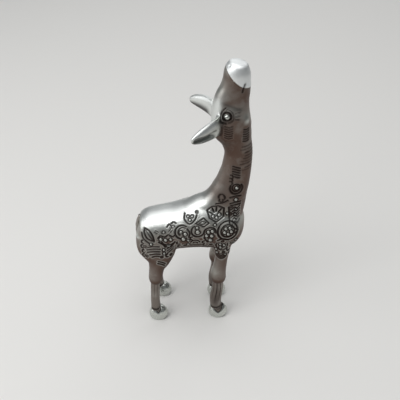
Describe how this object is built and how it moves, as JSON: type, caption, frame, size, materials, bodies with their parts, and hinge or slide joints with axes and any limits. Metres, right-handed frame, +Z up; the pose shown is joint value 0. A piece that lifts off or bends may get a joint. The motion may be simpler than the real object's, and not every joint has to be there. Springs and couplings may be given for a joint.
{
  "type": "giraffe figurine",
  "caption": "Standing metal giraffe figurine that looks straight up, cast in sections brazed on spigots, with a chased coat pattern, cupped ears and bulb hooves.",
  "frame": {"origin": "centre of the figurine's footprint, on the plane of the four soles", "axes": "+X the way the animal faces, +Y its left side, +Z up"},
  "size_m": [0.0546, 0.0366, 0.1403],
  "materials": {
    "patinated_plate": "silver-tone plate over brass, hand polished, with dark patina left in the chased pattern and creases",
    "polished_plate": "silver-tone plate over brass, polished bright"
  },
  "bodies": {
    "root": {"torso": "patinated_plate", "neck": "patinated_plate", "head": "patinated_plate", "ear_left": "patinated_plate", "ear_right": "patinated_plate", "eye_left": "polished_plate", "eye_right": "polished_plate", "tail": "patinated_plate", "front_left_upper_leg": "patinated_plate", "front_left_shank": "patinated_plate", "front_left_hoof": "polished_plate", "front_right_upper_leg": "patinated_plate", "front_right_shank": "patinated_plate", "front_right_hoof": "polished_plate", "hind_left_upper_leg": "patinated_plate", "hind_left_shank": "patinated_plate", "hind_left_hoof": "polished_plate", "hind_right_upper_leg": "patinated_plate", "hind_right_shank": "patinated_plate", "hind_right_hoof": "polished_plate"}
  },
  "joints": []
}
